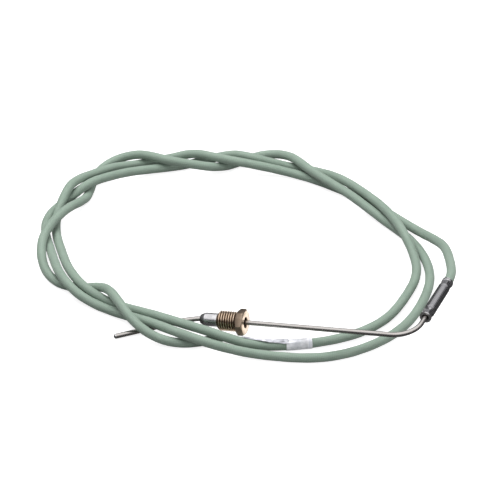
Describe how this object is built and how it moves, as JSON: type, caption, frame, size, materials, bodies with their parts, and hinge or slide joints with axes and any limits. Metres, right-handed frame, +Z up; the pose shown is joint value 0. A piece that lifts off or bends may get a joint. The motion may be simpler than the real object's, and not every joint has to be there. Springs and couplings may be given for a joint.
{
  "type": "thermocouple",
  "caption": "Sheathed thermocouple probe with a sliding olive and threaded gland nut, joined by a crimped sleeve to a coiled round two-core cable with pin tails.",
  "frame": {"origin": "centre of the footprint at the table the packed coil lies on", "axes": "+Z up from the table; +X along the longer side of the footprint, roughly the way the straight probe points from its tip to its bend"},
  "size_m": [0.2536, 0.2472, 0.029],
  "materials": {
    "sheath_steel": "drawn stainless steel, satin",
    "olive_steel": "turned bright steel",
    "sleeve_steel": "dark oxidised steel, satin",
    "brass": "machined brass, slightly dulled",
    "sage_silicone": "satin grey-green silicone",
    "green_insulation": "green glass-silicone braid, satin",
    "white_insulation": "white glass-silicone braid, satin",
    "nickel": "nickel and nickel plate",
    "nickel_chromium": "drawn alloy wire",
    "magnesia": "compacted oxide powder, matt",
    "potting_resin": "cured resin, matt",
    "clear_label": "clear shrink film over a blank white label"
  },
  "bodies": {
    "probe_and_cable": {"probe_sheath": "sheath_steel", "tip_plug": "sheath_steel", "mineral_insulation": "magnesia", "thermo_wire_positive": "nickel_chromium", "thermo_wire_negative": "nickel", "hot_junction_bead": "nickel", "transition_sleeve": "sleeve_steel", "sleeve_potting": "potting_resin", "splice_barrel_positive": "nickel", "splice_barrel_negative": "nickel", "cable_jacket": "sage_silicone", "conductor_insulation_positive": "green_insulation", "conductor_insulation_negative": "white_insulation", "conductor_core_positive": "nickel_chromium", "conductor_core_negative": "nickel_chromium", "tail_pin_positive": "nickel", "tail_pin_negative": "nickel", "label_sleeve": "clear_label"},
    "olive": {"olive": "olive_steel"},
    "gland": {"gland_nut": "brass"}
  },
  "joints": [
    {"name": "olive_slide", "type": "slide", "parent": "probe_and_cable", "child": "olive", "axis": [0.9396, -0.3235, 0.1115], "range_m": [0, 0.085]},
    {"name": "gland_spin", "type": "hinge", "parent": "olive", "child": "gland", "pos_m": [-0.01429, -0.08714, 0.00908], "axis": [0.9396, -0.3235, 0.1115], "continuous": true}
  ]
}
